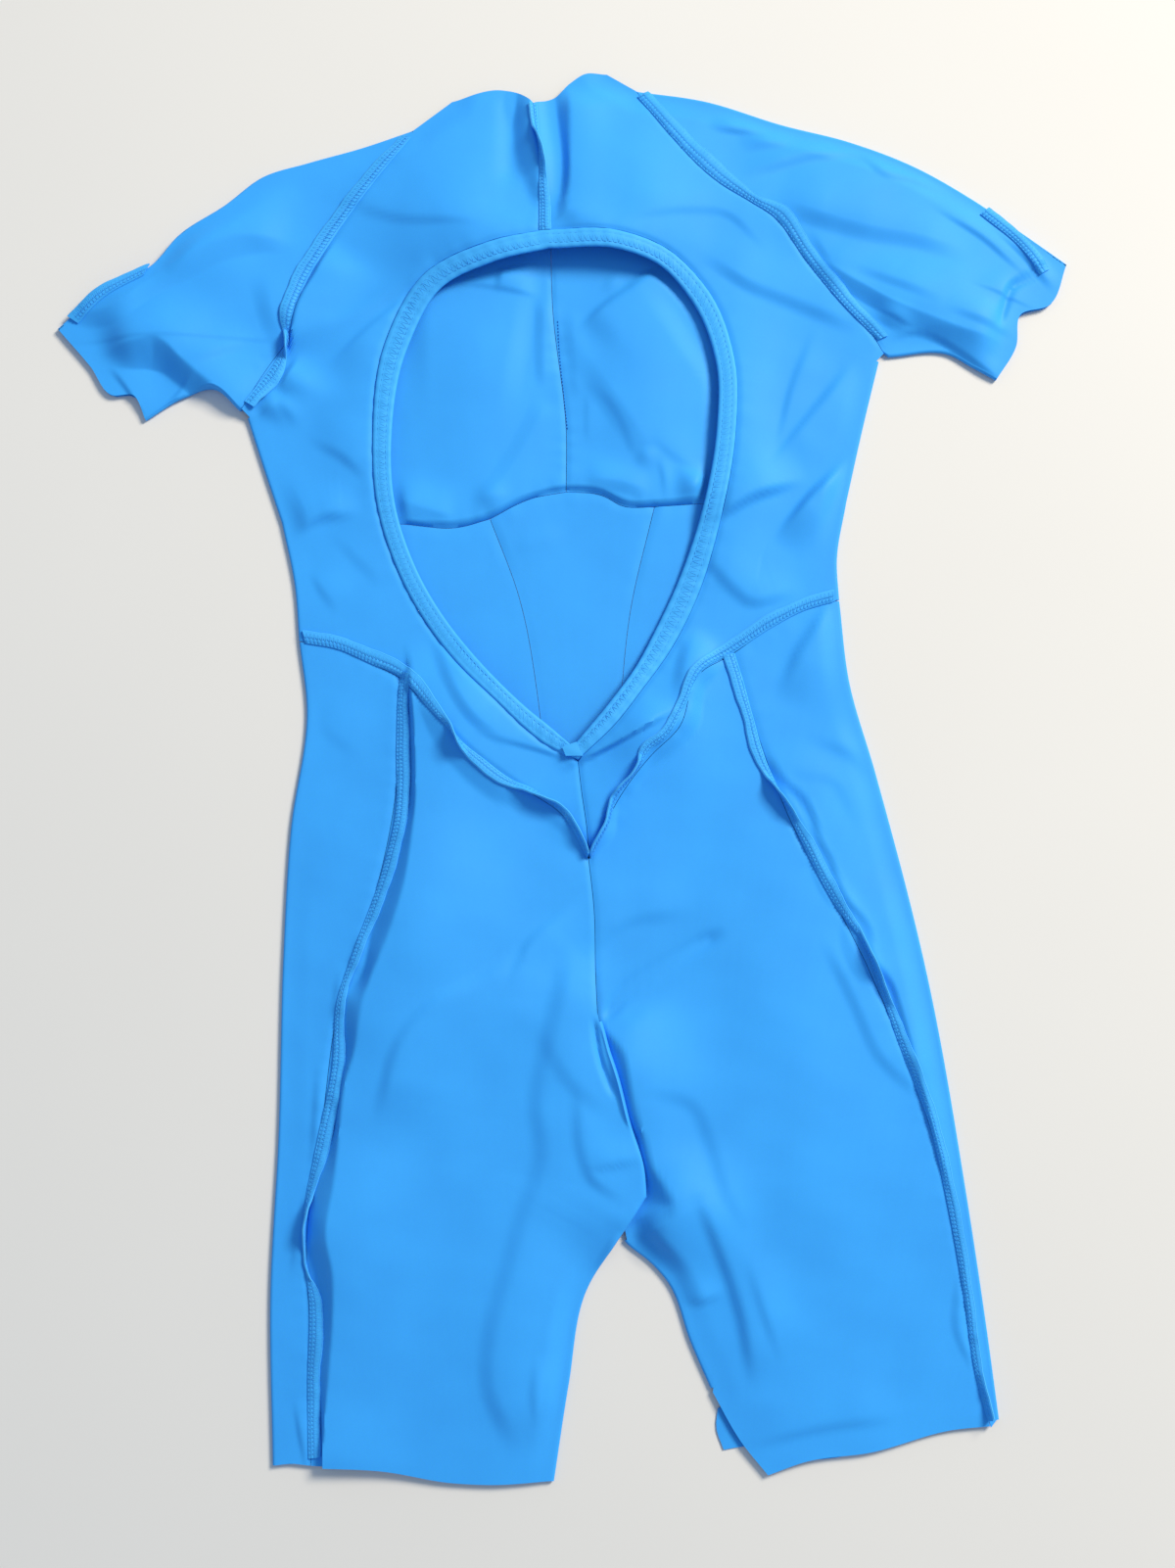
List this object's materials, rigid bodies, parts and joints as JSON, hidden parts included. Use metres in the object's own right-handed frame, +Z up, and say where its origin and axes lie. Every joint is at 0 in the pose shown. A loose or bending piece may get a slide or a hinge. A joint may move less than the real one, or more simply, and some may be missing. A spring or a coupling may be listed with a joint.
{
  "type": "short gym jumpsuit",
  "caption": "Short-sleeved, short-legged stretch gym suit with an open keyhole back, inside out and laid flat on its front with its back up.",
  "frame": {"origin": "middle of the laid-out suit's outline, on the floor it lies on", "axes": "+X to the wearer's right sleeve side as it lies, +Y towards the neck, +Z up from the floor"},
  "size_m": [0.5898, 0.8074, 0.0199],
  "materials": {
    "knit": "smooth sky-blue stretch knit, matt with a faint sheen",
    "binding": "the same knit folded over the edge, with two rows of stitches",
    "overlock": "cut edges of the knit wrapped in matching overlock thread"
  },
  "bodies": {
    "root": {"back_bodice_left": "knit", "back_bodice_right": "knit", "back_leg_left": "knit", "back_leg_right": "knit", "side_panel_left": "knit", "side_panel_right": "knit", "sleeve_left": "knit", "sleeve_right": "knit", "front_bust_left": "knit", "front_bust_right": "knit", "front_midriff_left": "knit", "front_midriff_centre": "knit", "front_midriff_right": "knit", "front_leg_left": "knit", "front_leg_right": "knit", "keyhole_binding": "binding", "allowance_centre_back": "overlock", "allowance_raglan_left": "overlock", "allowance_raglan_right": "overlock", "allowance_waist_left": "overlock", "allowance_waist_right": "overlock", "allowance_side_left": "overlock", "allowance_side_right": "overlock", "allowance_overarm_left": "overlock", "allowance_overarm_right": "overlock"}
  },
  "joints": []
}
